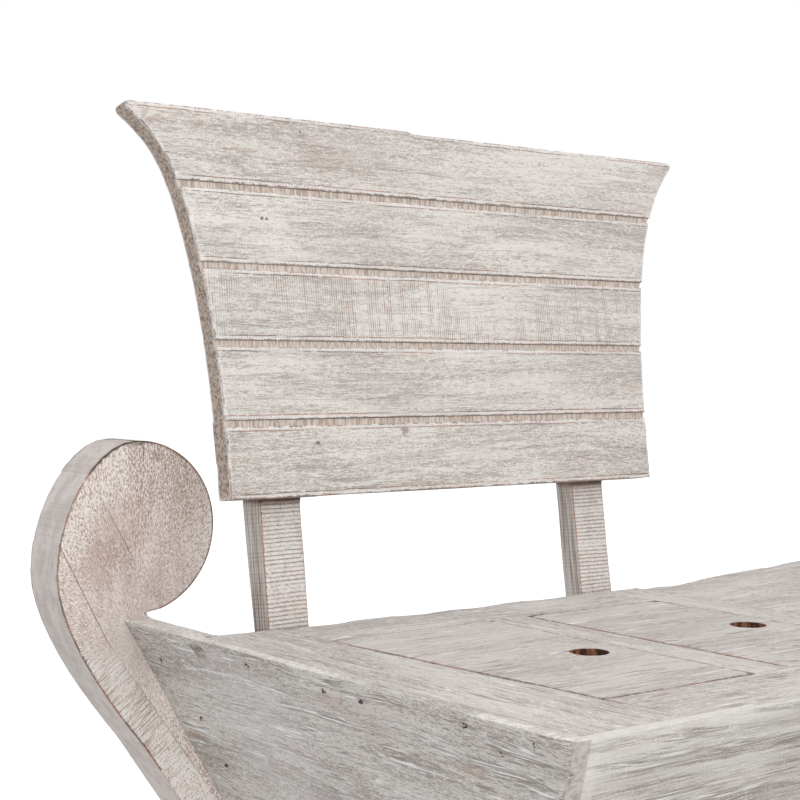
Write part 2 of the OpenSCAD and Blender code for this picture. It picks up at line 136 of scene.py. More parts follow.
def loose_parts(bm):
    """The separate solids of a mesh, as lists of faces."""
    seen = set()
    parts = []
    for first in bm.faces:
        if first in seen:
            continue
        seen.add(first)
        queue = [first]
        for face in queue:
            for edge in face.edges:
                for other in edge.link_faces:
                    if other not in seen:
                        seen.add(other)
                        queue.append(other)
        parts.append(queue)
    return parts


def all_solids():
    """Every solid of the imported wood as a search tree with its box."""
    solids = []
    for name, node in frame["nodes"].items():
        if name in ("nails", "post_bolts"):
            continue
        bm = bmesh.new()
        bm.from_mesh(node.data)
        bmesh.ops.remove_doubles(bm, verts=bm.verts, dist=WELD)
        for faces in loose_parts(bm):
            verts = list({v for f in faces for v in f.verts})
            number = {v: k for k, v in enumerate(verts)}
            points = [v.co.copy() for v in verts]
            tree = BVHTree.FromPolygons(points, [[number[v] for v in f.verts] for f in faces])
            cloud = np.array(points)
            solids.append((name, tree, cloud.min(axis=0) - JOINT_GAP, cloud.max(axis=0) + JOINT_GAP))
        bm.free()
    return solids


SOLIDS = all_solids()


def touches(node, point):
    """Whether another solid lies against this point of a node."""
    for name, tree, low, high in SOLIDS:
        if any(point[i] < low[i] or point[i] > high[i] for i in range(3)):
            continue
        gap = tree.find_nearest(point, JOINT_GAP)[3]
        if gap is not None and (name != node or gap > 5 * WELD):
            return True
    return False


def is_joint(node, edge, to_bench):
    """Whether most of an arris lies against another solid."""
    start, end = (to_bench @ v.co for v in edge.verts)
    hits = sum(touches(node, start.lerp(end, share)) for share in JOINT_SHARES)
    return hits >= JOINT_HITS


# Geometry of the planks


def nearest_line(points, segments):
    """Distance of each point to the nearest of some segments."""
    best = np.full(len(points), 1.0)
    for start, end in segments:
        along = end - start
        length2 = max(float(along @ along), 1e-12)
        share = np.clip((points - start) @ along / length2, 0, 1)
        gap = points - start - share[:, None] * along
        best = np.minimum(best, np.einsum("ij,ij->i", gap, gap))
    return np.sqrt(best)


def runs_along(ends, direction):
    """Whether a segment runs nearly along a direction."""
    run = Vector(ends[1] - ends[0])
    return run.length > 0 and abs(run.normalized().dot(direction)) > RUNS_ALONG


def cut_mesh(bm, place, direction):
    """Cuts the mesh by the plane through a place, across a direction."""
    geometry = bm.verts[:] + bm.edges[:] + bm.faces[:]
    bmesh.ops.bisect_plane(bm, geom=geometry, dist=1e-6, plane_co=place, plane_no=direction)


def slice_mesh(bm, direction, step):
    """Cuts the mesh by planes across one direction, a step apart."""
    reach = [v.co.dot(direction) for v in bm.verts]
    low, high = min(reach), max(reach)
    count = int((high - low) / step)
    for k in range(1, count + 1):
        cut_mesh(bm, direction * (low + (high - low) * k / (count + 1)), direction)


def seed_shift(seed):
    """Where in the grain pattern a plank is cut from."""
    return Vector((7.31 * seed % 53, 3.77 * seed % 29, 5.13 * seed % 31))


def wave(place, along, across, shift):
    """Smooth noise from -1 to 1, stretched along the grain."""
    return noise.noise(Vector((place.x * along, place.y * across, place.z * across)) + shift)


# Waves per metre of each kind of wear, along the grain and across it
WAVES = {
    "swell": (5.0, 16.0), "ridges": (9.0, 150.0), "chips": (22.0, 45.0), "wavy_edge": (20.0, 9.0),
    "saw_pitch": (9.0, 5.0), "saw_depth": (25.0, 18.0),
}


def relief(place, rim, corner, style, shift):
    """How far a point of the surface is worn in, in metres."""
    depth = style["swell"] * (0.5 + 0.5 * wave(place, *WAVES["swell"], shift))
    ridge = wave(place, *WAVES["ridges"], shift + Vector((0, 9, 0)))
    depth += style["ridges"] * max(0.0, ridge + 0.2)
    chip = wave(place, *WAVES["chips"], shift + Vector((4, 0, 0)))
    chips = 0.3 + 0.7 * max(0.0, chip + 0.25)
    depth += style["worn"] * math.exp(-((rim / style["worn_reach"]) ** 2)) * chips
    if style["wavy_edge"]:
        reach = math.exp(-((rim / WAVY_REACH) ** 2))
        dip = max(0.0, wave(place, *WAVES["wavy_edge"], shift) + 0.15)
        depth += style["wavy_edge"] * reach * dip * 1.3
    depth += style["corner"] * math.exp(-((corner / CORNER_REACH) ** 2))
    if style["saw"]:
        pitch = style["saw_pitch"] * (1 + 0.18 * wave(place, *WAVES["saw_pitch"], shift))
        tooth = 0.5 + 0.5 * math.sin(math.tau * place.x / pitch)
        depth += style["saw"] * tooth * (0.5 + 0.5 * wave(place, *WAVES["saw_depth"], shift))
    return depth


# How a piece is cut up, rounded and worn, where its own function says nothing else
STYLE = {
    "cell": (12 * MM, 3.4 * MM), "arris": 1.6 * MM, "joint_arris": 0.35 * MM,
    "swell": 0.35 * MM, "ridges": 0.3 * MM, "worn": 0.9 * MM, "worn_reach": 4 * MM,
    "corner": 1.2 * MM, "saw": 0.0, "saw_pitch": 4.6 * MM, "wavy_edge": 0.0,
    "mark": None, "push": None, "grow": 0.0, "cut": None,
}


def bevelled(bm, style, joints):
    """The mesh with its arrises rounded, those at a joint only a little."""
    mesh = bpy.data.meshes.new("bevel_work")
    bm.to_mesh(mesh)
    bm.free()
    weight = mesh.attributes.new("bevel_weight_edge", "FLOAT", "EDGE")
    small = style["joint_arris"] / style["arris"]
    for index, joined in joints.items():
        weight.data[index].value = small if joined else 1.0
    work = bpy.data.objects.new("bevel_work", mesh)
    bpy.context.scene.collection.objects.link(work)
    bevel = work.modifiers.new("bevel", "BEVEL")
    bevel.limit_method = "WEIGHT"
    bevel.width = style["arris"]
    bevel.segments = 2
    bevel.profile = 0.55
    depsgraph = bpy.context.evaluated_depsgraph_get()
    result = bmesh.new()
    result.from_mesh(work.evaluated_get(depsgraph).to_mesh())
    bpy.data.objects.remove(work)
    bpy.data.meshes.remove(mesh)
    return result


def dress(node, slot, material, along, normal, side, seed, **changes):
    """Makes the worn wooden piece that stands for a CAD node, from that node's own faces."""
    style = dict(STYLE, **changes)
    place = seat_frame(side)
    bm = bmesh.new()
    bm.from_mesh(frame["nodes"][node].data)
    bmesh.ops.transform(bm, matrix=place, verts=bm.verts)
    bmesh.ops.remove_doubles(bm, verts=bm.verts, dist=WELD)
    bmesh.ops.dissolve_limit(bm, angle_limit=FLAT_ANGLE, verts=bm.verts, edges=bm.edges)
    slice_mesh(bm, along, JOINT_STEP)
    if style["cut"]:
        cut_mesh(bm, *style["cut"])
    bm.edges.index_update()
    arrises = [e for e in bm.edges if e.calc_face_angle(0) > ARRIS_ANGLE]
    to_bench = place.inverted()
    joints = {e.index: is_joint(node, e, to_bench) for e in arrises}
    lines = {True: [], False: []}
    corners = {}
    for edge in arrises:
        ends = [np.array(v.co) for v in edge.verts]
        lines[joints[edge.index]].append(ends)
        for vert in edge.verts:
            corners.setdefault(vert, []).append(joints[edge.index])
    points = [np.array(v.co) for v, kinds in corners.items()
              if len(kinds) > 2 and kinds.count(False) > 1]
    lengthwise = [ends for ends in lines[False] if runs_along(ends, along)]
    rims = {"free": lines[False], "joined": lines[True], "lengthwise": lengthwise,
            "corners": [(p, p) for p in points]}
    bm = bevelled(bm, style, joints)
    across = normal.cross(along)
    slice_mesh(bm, along, style["cell"][0])
    slice_mesh(bm, across, style["cell"][1])
    slice_mesh(bm, normal, THICKNESS_CELL)
    wear_mesh(bm, rims, (along, across, normal), style, seed_shift(seed))
    bmesh.ops.triangulate(bm, faces=[f for f in bm.faces if len(f.verts) > 4])
    bmesh.ops.transform(bm, matrix=to_bench, verts=bm.verts)
    for face in bm.faces:
        face.smooth = True
    return ride_as(node + "_wood", bm, material, node)


def ride_as(name, bm, material, node):
    """Turns a mesh into a piece that rides with a CAD node and stands for it."""
    mesh = bpy.data.meshes.new(name)
    bm.to_mesh(mesh)
    bm.free()
    mesh.materials.append(material)
    piece = bpy.data.objects.new(name, mesh)
    bpy.context.scene.collection.objects.link(piece)
    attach(piece, frame["nodes"][node]["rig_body"])
    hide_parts(node)
    return piece


def wear_mesh(bm, rims, axes, style, shift):
    """Wears the sliced mesh, and writes the coordinates that its material reads."""
    bm.normal_update()
    points = np.array([v.co[:] for v in bm.verts])
    free = nearest_line(points, rims["free"])
    joined = nearest_line(points, rims["joined"])
    corner = nearest_line(points, rims["corners"])
    lengthwise = nearest_line(points, rims["lengthwise"])
    grain = bm.verts.layers.float_vector.new("grain")
    spot = bm.verts.layers.float_vector.new("place")
    edge = bm.verts.layers.float_vector.new("edge")
    facing = bm.verts.layers.float_vector.new("facing")
    for k, vert in enumerate(bm.verts):
        turned = Vector([vert.co.dot(axis) for axis in axes])
        vert[grain] = turned + shift
        vert[spot] = turned
        end_grain, flat = abs(vert.normal.dot(axes[0])), abs(vert.normal.dot(axes[2]))
        vert[facing] = Vector((lengthwise[k], end_grain, flat))
        mark = style["mark"](vert.co, vert.normal) if style["mark"] else 0.0
        vert[edge] = Vector((free[k], joined[k], mark))
        away = 1 - math.exp(-((joined[k] / TIGHT_REACH) ** 2))
        vert.co -= vert.normal * away * relief(turned, free[k], corner[k], style, shift)
        if style["grow"] and mark == 0.0 and flat < 0.5:
            vert.co += vert.normal * style["grow"]
        if style["push"]:
            vert.co += style["push"](vert.co)


# Materials


# Sockets of the Mix node when it mixes colours
MIX_A, MIX_B, MIX_RESULT = 6, 7, 2


class Shader:
    """A material's node tree, with short names for the few kinds of node that the wood needs."""

    def __init__(self, name):
        self.material = bpy.data.materials.new(name)
        self.material.use_nodes = True
        self.tree = self.material.node_tree
        self.surface = self.tree.nodes["Principled BSDF"]

    def put(self, value, socket):
        if isinstance(value, bpy.types.NodeSocket):
            self.tree.links.new(value, socket)
        elif socket.type == "RGBA":
            socket.default_value = (*value, 1)
        else:
            socket.default_value = value

    def attribute(self, name):
        node = self.tree.nodes.new("ShaderNodeAttribute")
        node.attribute_name = name
        return node.outputs["Vector"]

    def parts(self, vector):
        node = self.tree.nodes.new("ShaderNodeSeparateXYZ")
        self.put(vector, node.inputs[0])
        return node.outputs

    def math(self, operation, a, b=0.0):
        node = self.tree.nodes.new("ShaderNodeMath")
        node.operation = operation
        self.put(a, node.inputs[0])
        self.put(b, node.inputs[1])
        return node.outputs[0]

    def times(self, *values):
        result = values[0]
        for value in values[1:]:
            result = self.math("MULTIPLY", result, value)
        return result

    def plus(self, *values):
        result = values[0]
        for value in values[1:]:
            result = self.math("ADD", result, value)
        return result

    def vector(self, operation, a, b=(0, 0, 0)):
        node = self.tree.nodes.new("ShaderNodeVectorMath")
        node.operation = operation
        self.put(a, node.inputs[0])
        self.put(b, node.inputs[1])
        return node.outputs["Value" if operation == "LENGTH" else "Vector"]

    def join(self, x, y, z):
        node = self.tree.nodes.new("ShaderNodeCombineXYZ")
        for value, socket in zip((x, y, z), node.inputs):
            self.put(value, socket)
        return node.outputs[0]

    def noise(self, vector, along, across, detail=2.0, roughness=0.5):
        """Noise with so many cells per metre along the grain and across it."""
        node = self.tree.nodes.new("ShaderNodeTexNoise")
        self.put(self.vector("MULTIPLY", vector, (along, across, across)), node.inputs["Vector"])
        node.inputs["Scale"].default_value = 1.0
        node.inputs["Detail"].default_value = detail
        node.inputs["Roughness"].default_value = roughness
        return node.outputs[0]

    def step(self, value, start, end):
        """Rises smoothly from 0 to 1 between start and end, or falls where start is the larger."""
        node = self.tree.nodes.new("ShaderNodeMapRange")
        node.interpolation_type = "SMOOTHSTEP"
        self.put(value, node.inputs["Value"])
        node.inputs["From Min"].default_value = min(start, end)
        node.inputs["From Max"].default_value = max(start, end)
        node.inputs["To Min"].default_value = 0.0 if start < end else 1.0
        node.inputs["To Max"].default_value = 1.0 if start < end else 0.0
        return node.outputs[0]

    def blend(self, share, a, b):
        node = self.tree.nodes.new("ShaderNodeMix")
        node.data_type = "RGBA"
        self.put(share, node.inputs[0])
        self.put(a, node.inputs[MIX_A])
        self.put(b, node.inputs[MIX_B])
        return node.outputs[MIX_RESULT]

    def bump(self, height, distance, strength=1.0):
        node = self.tree.nodes.new("ShaderNodeBump")
        node.inputs["Strength"].default_value = strength
        node.inputs["Distance"].default_value = distance
        self.put(height, node.inputs["Height"])
        self.put(node.outputs[0], self.surface.inputs["Normal"])


def srgb(red, green, blue):
    """A colour as a screen shows it, from 0 to 255, turned to linear light."""
    values = [c / 255 for c in (red, green, blue)]
    return tuple(c / 12.92 if c <= 0.04045 else ((c + 0.055) / 1.055) ** 2.4 for c in values)


WHITE = srgb(237, 234, 231)
RUST = srgb(164, 108, 82)
DIRT = srgb(96, 72, 60)

# Cells per metre of each noise, along the grain and across it
CELLS = {
    "patch": (4, 15), "warm": (7, 40), "fan": (520, 520), "bend": (3, 10), "mark": (420, 60),
    "saw_wobble": (14, 10), "saw_patch": (6, 10), "saw_break": (200, 90), "saw_each": (150, 4),
    "saw_rust": (60, 12), "hatch": (560, 34), "tick_patch": (26, 60), "tick_tint": (20, 60),
    "bead_wander": (30, 30), "bead_patch": (12, 30), "bead_break": (160, 160), "bead_tint": (8, 30),
    "thread_patch": (18, 50), "crack": (1.6, 30), "crack_patch": (2.3, 9), "crack_break": (40, 90),
    "spot": (360, 360), "arris_patch": (14, 14), "rust_break": (90, 90), "rust_tint": (25, 25),
    "joint_patch": (7, 12), "iron_rust": (260, 260), "iron_wash": (240, 240), "iron_pits": (900, 900),
}
# Where each effect starts to show and where it shows in full
SHOWS = {
    "shade": (0.38, 0.64), "warm": (0.5, 0.68), "light": (0.45, 0.36), "face": (0.6, 0.9),
    "side": (0.8, 0.4), "end": (0.5, 0.8), "rough": (0.42, 0.62), "mark": (0.42, 0.6),
    "saw_rust": (0.5, 0.62), "saw_crest": (-0.3, -0.9), "hatch_dark": (0.54, 0.62),
    "hatch_light": (0.54, 0.44), "tick": (-0.4, 0.4), "tick_patch": (0.42, 0.58), "tick_tint": (0.5, 0.7),
    "bead_patch": (0.34, 0.5), "bead_break": (0.28, 0.44), "bead_tint": (0.42, 0.58),
    "thread": (0.016, 0.004), "thread_patch": (0.41, 0.55), "crack": (0.006, 0.0),
    "crack_patch": (0.52, 0.58), "crack_break": (0.40, 0.55), "spot": (1.15, 0.75),
    "arris_patch": (0.36, 0.5), "rust_tint": (0.42, 0.58), "joint_patch": (0.4, 0.52),
    "joint_face": (0.4, 0.9), "iron_rust": (0.5, 0.66), "iron_wash": (0.47, 0.57),
}
# How much the direction and the distance count in the marks that fan out
FAN_TURN = 0.29
FAN_REACH = 0.56
# Where the scroll's hatching starts and is full: how low along the grain, and how near the rim
HATCH_LOW = (-10 * MM, -50 * MM)
HATCH_NEAR = (42 * MM, 24 * MM)
# Dull wood: how much it shines
SPECULAR = 0.25
# Over how much the slab's light arris, worn and partly a painted highlight, fades, and how much of it goes
GAP_FADE = 20 * MM
GAP_SHARE = 0.85

# The look of a wood, where its own function says nothing else
WASH = {
    "wash": srgb(226, 221, 216), "shade": srgb(211, 205, 200), "bare": srgb(158, 147, 139),
    "pink": srgb(206, 190, 184), "pink_share": 0.3, "flecks": 0.7, "cover": (0.46, 0.62),
    "bareness": 0.85, "balance": 0.0, "streaks": (14, 110), "dashes": (190, 600), "dots": (420, 700),
    "streak_weight": 0.25, "dash_weight": 0.4, "dot_weight": 0.35,
    "fan": None, "hatch": 0.0, "saw": 0.0, "saw_pitch": 4.6 * MM, "saw_cover": (0.46, 0.6),
    "saw_line": (-0.1, 0.9), "saw_rust": 0.5, "saw_broken": (0.36, 0.56),
    "saw_each": (0.36, 0.62), "saw_tint": RUST, "ticks": None, "bead": None, "white_arris": (4 * MM, 0.7),
    "rust_arris": (1.6 * MM, 0.0), "rust_tint": (RUST, DIRT), "rust_broken": (0.38, 0.52),
    "white_seam": None, "white_long": False, "white_gap": None, "joint_line": (0.9 * MM, 0.55),
    "side_light": srgb(180, 168, 158), "side_dark": srgb(108, 90, 79),
    "side_scale": (170, 170), "side_share": 0.9, "end": None, "cracks": 0.5, "spots": (),
    "threads": (4, 110), "thread_share": 0.4,
    "mark_light": srgb(196, 182, 171), "mark_dark": srgb(150, 122, 106), "rough": 0.85, "bump": 0.7 * MM,
}


def radial(s, look):
    """Coordinates that fan out from a point: the direction from it, and the distance."""
    u, v = look["fan"]
    away = s.vector("MULTIPLY", s.vector("SUBTRACT", s.attribute("place"), (u, v, 0)), (1, 1, 0))
    distance = s.vector("LENGTH", away)
    direction = s.vector("SCALE", s.vector("NORMALIZE", away))
    direction.node.inputs["Scale"].default_value = FAN_TURN
    return s.vector("ADD", direction, s.join(0.0, 0.0, s.times(distance, FAN_REACH)))


def wood_grain(s, look, f):
    """The wash, with the bare wood showing in streaks, dashes and dots."""
    patch = s.noise(f["grain"], *CELLS["patch"], 3, 0.6)
    streak = s.noise(f["wavy"], *look["streaks"], 4, 0.66)
    if look["fan"]:
        dash = s.noise(radial(s, look), *CELLS["fan"], 2, 0.6)
    else:
        dash = s.noise(f["wavy"], *look["dashes"], 2, 0.6)
    dot = s.noise(f["grain"], *look["dots"], 1, 0.5)
    f["dot"] = dot
    tone = s.plus(s.times(streak, look["streak_weight"]), s.times(dash, look["dash_weight"]),
                  s.times(dot, look["dot_weight"]))
    f["tone"] = tone
    thin = s.times(s.math("SUBTRACT", patch, 0.5), 0.22)
    cover = s.step(s.plus(tone, thin, look["balance"]), *look["cover"])
    colour = s.blend(s.step(patch, *SHOWS["shade"]), look["wash"], look["shade"])
    warm = s.noise(f["grain"], *CELLS["warm"], 3, 0.6)
    colour = s.blend(s.times(s.step(warm, *SHOWS["warm"]), look["pink_share"]), colour, look["pink"])
    colour = s.blend(s.times(cover, look["bareness"]), colour, look["bare"])
    light = s.step(s.plus(s.times(dash, 0.6), s.times(dot, 0.4)), *SHOWS["light"])
    colour = s.blend(s.times(light, look["flecks"]), colour, WHITE)
    return colour, s.math("SUBTRACT", 1.0, tone)


def cross_marks(s, look, f, colour, height):
    """Saw marks across the grain, in patches."""
    wobble = s.times(s.noise(f["grain"], *CELLS["saw_wobble"], 2), 6.0)
    phase = s.plus(s.times(f["u"], math.tau / look["saw_pitch"]), wobble)
    tooth = s.step(s.math("SINE", phase), *look["saw_line"])
    where = s.step(s.noise(f["grain"], *CELLS["saw_patch"], 2), *look["saw_cover"])
    broken = s.step(s.noise(f["grain"], *CELLS["saw_break"], 2), *look["saw_broken"])
    each = s.step(s.noise(f["grain"], *CELLS["saw_each"], 1), *look["saw_each"])
    share = s.times(tooth, where, broken, each, look["saw"])
    rusty = s.step(s.noise(f["grain"], *CELLS["saw_rust"], 1), *SHOWS["saw_rust"])
    rusty = s.times(rusty, look["saw_rust"])
    colour = s.blend(share, colour, s.blend(rusty, look["bare"], look["saw_tint"]))
    crest = s.times(s.step(s.math("SINE", phase), *SHOWS["saw_crest"]), where, look["saw"], 0.6)
    colour = s.blend(crest, colour, WHITE)
    return colour, s.math("SUBTRACT", height, s.times(share, 0.5))


def hatching(s, look, f, colour, height):
    """Short light and dark scratches across the grain, close to the outer arris, low on the piece."""
    u, v, _ = s.parts(f["grain"])
    across = s.plus(s.times(u, 0.8), s.times(v, 0.6))
    along = s.plus(s.times(u, 0.6), s.times(v, -0.8))
    scratch = s.noise(s.join(across, along, 0.0), *CELLS["hatch"], 2, 0.6)
    low = s.step(s.parts(s.attribute("place"))[0], *HATCH_LOW)
    band = s.times(s.step(f["rim"], *HATCH_NEAR), low, look["hatch"])
    colour = s.blend(s.times(s.step(scratch, *SHOWS["hatch_dark"]), band, 0.8), colour, look["bare"])
    colour = s.blend(s.times(s.step(scratch, *SHOWS["hatch_light"]), band), colour, WHITE)
    return colour, s.math("SUBTRACT", height, s.times(scratch, band, 0.4))


def rope_ticks(s, look, f, colour):
    """A row of small light and brown ticks that runs beside the arris."""
    near, far, pitch, share = look["ticks"]
    phase = s.plus(s.times(f["u"], math.tau / pitch), s.times(f["dot"], 2.0))
    tooth = s.step(s.math("SINE", phase), *SHOWS["tick"])
    band = s.times(s.step(f["long"], near, near + 0.8 * MM), s.step(f["long"], far, far - 0.8 * MM))
    there = s.step(s.noise(f["grain"], *CELLS["tick_patch"], 2), *SHOWS["tick_patch"])
    band = s.times(band, there, share, s.step(f["flat"], *SHOWS["face"]))
    tint = s.step(s.noise(f["grain"], *CELLS["tick_tint"], 1), *SHOWS["tick_tint"])
    brown = s.blend(tint, look["bare"], RUST)
    colour = s.blend(s.times(band, tooth), colour, brown)
    return s.blend(s.times(band, s.math("SUBTRACT", 1.0, tooth)), colour, WHITE)


def bead(s, look, f, colour):
    """A light strip along the arris with a thin rusty line on its inner side."""
    place, share = look["bead"]
    on_face = s.step(f["flat"], *SHOWS["face"])
    drift = s.math("SUBTRACT", s.noise(f["grain"], *CELLS["bead_wander"], 2), 0.5)
    wander = s.plus(f["long"], s.times(drift, 2.4 * MM))
    off = s.math("ABSOLUTE", s.math("SUBTRACT", wander, place))
    there = s.step(s.noise(f["grain"], *CELLS["bead_patch"], 2), *SHOWS["bead_patch"])
    broken = s.step(s.noise(f["grain"], *CELLS["bead_break"], 1), *SHOWS["bead_break"])
    strip = s.times(s.step(wander, place, place * 0.7), there, share * 0.5, on_face)
    colour = s.blend(strip, colour, WHITE)
    line = s.times(s.step(off, 0.8 * MM, 0.2 * MM), there, broken, share, on_face)
    tint = s.step(s.noise(f["grain"], *CELLS["bead_tint"], 1), *SHOWS["bead_tint"])
    return s.blend(line, colour, s.blend(tint, RUST, DIRT))


def threads(s, look, f, colour, height):
    """Thin wavy lines of raised grain, bumped, with a painted shadow on one side and a painted highlight on
    the other.
    """
    line = s.noise(f["wavy"], *look["threads"], 3, 0.6)
    patch = s.step(s.noise(f["grain"], *CELLS["thread_patch"], 2), *SHOWS["thread_patch"])
    there = s.times(patch, look["thread_share"])
    # dark is the painted shadow of each line, light its painted highlight
    dark = s.step(s.math("ABSOLUTE", s.math("SUBTRACT", line, 0.5)), *SHOWS["thread"])
    dark = s.times(dark, there)
    light = s.step(s.math("ABSOLUTE", s.math("SUBTRACT", line, 0.53)), *SHOWS["thread"])
    light = s.times(light, there)
    colour = s.blend(dark, colour, look["bare"])
    return s.blend(light, colour, WHITE), s.plus(height, s.times(light, 0.5), s.times(dark, -0.5))


def cracks(s, look, f, colour, height):
    """Fine cracks along the grain, rusty brown."""
    line = s.noise(f["wavy"], *CELLS["crack"], 3, 0.55)
    thread = s.step(s.math("ABSOLUTE", s.math("SUBTRACT", line, 0.5)), *SHOWS["crack"])
    rare = s.step(s.noise(f["grain"], *CELLS["crack_patch"], 1), *SHOWS["crack_patch"])
    broken = s.step(s.noise(f["grain"], *CELLS["crack_break"], 2), *SHOWS["crack_break"])
    share = s.times(thread, rare, broken, look["cracks"])
    return s.blend(share, colour, s.blend(0.4, RUST, DIRT)), s.math("SUBTRACT", height, share)


def spots(s, look, f, colour, height):
    """Knots, pits, rough places and a patch of painted light, each at its own place: along, across, half
    sizes and colour.
    """
    ragged = s.times(s.math("SUBTRACT", s.noise(f["grain"], *CELLS["spot"], 3, 0.7), 0.5), 3.4)
    for u, v, half_u, half_v, tint, share in look["spots"]:
        away = s.vector("MULTIPLY", s.vector("SUBTRACT", s.attribute("place"), (u, v, 0)),
                        (1 / half_u, 1 / half_v, 0))
        inside = s.step(s.plus(s.vector("LENGTH", away), ragged), *SHOWS["spot"])
        amount = s.times(inside, share)
        colour = s.blend(amount, colour, tint)
        height = s.math("SUBTRACT", height, s.times(amount, 0.8))
    return colour, height


def arrises(s, look, f, colour):
    """The light arrises, worn and on the slab partly a painted highlight, the rusty line on them, and the
    dark line of a joint.
    """
    noisy = s.times(s.math("SUBTRACT", f["dot"], 0.5), 5 * MM)
    uneven = s.plus(f["rim"], noisy)
    width, share = look["white_arris"]
    reach = s.plus(f["long"], noisy) if look["white_long"] else uneven
    white = s.step(reach, width, width * 0.4)
    if look["white_gap"]:
        patchy = s.step(s.noise(f["grain"], *CELLS["arris_patch"], 1), *SHOWS["arris_patch"])
        white = s.times(white, patchy, f["kept"])
    colour = s.blend(s.times(white, share), colour, WHITE)
    width, share = look["rust_arris"]
    broken = s.step(s.noise(f["grain"], *CELLS["rust_break"], 3), *look["rust_broken"])
    line = s.times(s.step(uneven, width, width * 0.5), broken, share)
    tint = s.step(s.noise(f["grain"], *CELLS["rust_tint"], 2), *SHOWS["rust_tint"])
    colour = s.blend(line, colour, s.blend(tint, *look["rust_tint"]))
    if look["white_seam"]:
        width, share = look["white_seam"]
        uneven = s.plus(f["seam"], s.times(s.math("SUBTRACT", f["tone"], 0.5), width))
        colour = s.blend(s.times(s.step(uneven, width, width * 0.6), share), colour, WHITE)
    width, share = look["joint_line"]
    there = s.step(s.noise(f["grain"], *CELLS["joint_patch"], 1), *SHOWS["joint_patch"])
    shown = s.times(there, s.step(f["flat"], *SHOWS["joint_face"]), share)
    return s.blend(s.times(s.step(f["seam"], width, width * 0.4), shown), colour, DIRT)


def washed_wood(name, **changes):
    """Wood under a thin white wash, worn along its arrises."""
    look = dict(WASH, **changes)
    s = Shader(name)
    grain = s.attribute("grain")
    rim, seam, mark = s.parts(s.attribute("edge"))
    lengthwise, end_grain, flat = s.parts(s.attribute("facing"))
    bend = s.times(s.math("SUBTRACT", s.noise(grain, *CELLS["bend"], 2), 0.5), 0.035)
    f = {"grain": grain, "rim": rim, "seam": seam, "flat": flat, "long": lengthwise,
         "u": s.parts(grain)[0],
         "wavy": s.vector("ADD", grain, s.join(0.0, bend, s.times(bend, 0.6)))}
    colour, height = wood_grain(s, look, f)
    if look["saw"]:
        colour, height = cross_marks(s, look, f, colour, height)
    if look["hatch"]:
        colour, height = hatching(s, look, f, colour, height)
    # Raised grain lines with painted shadow and painted highlight
    if look["thread_share"]:
        colour, height = threads(s, look, f, colour, height)
    if look["cracks"]:
        colour, height = cracks(s, look, f, colour, height)
    if look["spots"]:
        colour, height = spots(s, look, f, colour, height)
    if look["bead"]:
        colour = bead(s, look, f, colour)
    if look["ticks"]:
        colour = rope_ticks(s, look, f, colour)
    turned = s.times(s.step(flat, *SHOWS["side"]), look["side_share"])
    if look["white_gap"]:
        start, end = look["white_gap"]
        place = s.parts(s.attribute("place"))[0]
        gap = s.times(s.step(place, start, start + GAP_FADE), s.step(place, end, end - GAP_FADE))
        f["kept"] = s.math("SUBTRACT", 1.0, s.times(gap, GAP_SHARE))
        turned = s.times(turned, f["kept"])
    rough = s.step(s.noise(grain, *look["side_scale"], 3, 0.7), *SHOWS["rough"])
    side = s.blend(rough, look["side_light"], look["side_dark"])
    if look["end"]:
        side = s.blend(s.step(end_grain, *SHOWS["end"]), side, s.blend(rough, *look["end"]))
    colour = s.blend(turned, colour, side)
    colour = arrises(s, look, f, colour)
    # The marked places: a groove's pale floor, painted shade in the lids' finger holes, and painted shade
    # on the posts under the backrest
    ticked = s.step(s.noise(grain, *CELLS["mark"], 2, 0.6), *SHOWS["mark"])
    marked = s.blend(ticked, look["mark_light"], look["mark_dark"])
    colour = s.blend(s.step(mark, 0.0, 1.0), colour, marked)
    s.put(colour, s.surface.inputs["Base Color"])
    s.surface.inputs["Roughness"].default_value = look["rough"]
    s.surface.inputs["Specular IOR Level"].default_value = SPECULAR
    s.bump(height, look["bump"])
    return s.material


def iron_material():
    """Old iron: dark, dull and rusty, with the wash still on parts of it."""
    s = Shader("old_iron")
    node = s.tree.nodes.new("ShaderNodeTexCoord")
    place = node.outputs["Object"]
    rust = s.step(s.noise(place, *CELLS["iron_rust"], 3), *SHOWS["iron_rust"])
    washed = s.step(s.noise(place, *CELLS["iron_wash"], 1), *SHOWS["iron_wash"])
    iron = s.blend(rust, srgb(58, 52, 49), srgb(108, 84, 72))
    s.put(s.blend(s.times(washed, 0.8), iron, srgb(196, 190, 185)), s.surface.inputs["Base Color"])
    s.surface.inputs["Roughness"].default_value = 0.8
    s.bump(s.noise(place, *CELLS["iron_pits"], 2), 0.3 * MM)
    return s.material


# Where the fan of marks on the scroll's face starts, along and across its grain
FAN_START = (-22 * MM, 1 * MM)

# Colours of knots, pits, chips and patches, and of a patch of painted light
KNOT = srgb(132, 112, 100)
PIT = srgb(120, 92, 78)
CHIP = srgb(232, 228, 222)
REDDISH = srgb(176, 138, 122)
PAINTED_LIGHT = srgb(226, 222, 219)


def spot(u, v, half_u, half_v, tint, share):
    """One spot: its place along and across the grain and its half sizes in millimetres, and its colour."""
    return u * MM, v * MM, half_u * MM, half_v * MM, tint, share


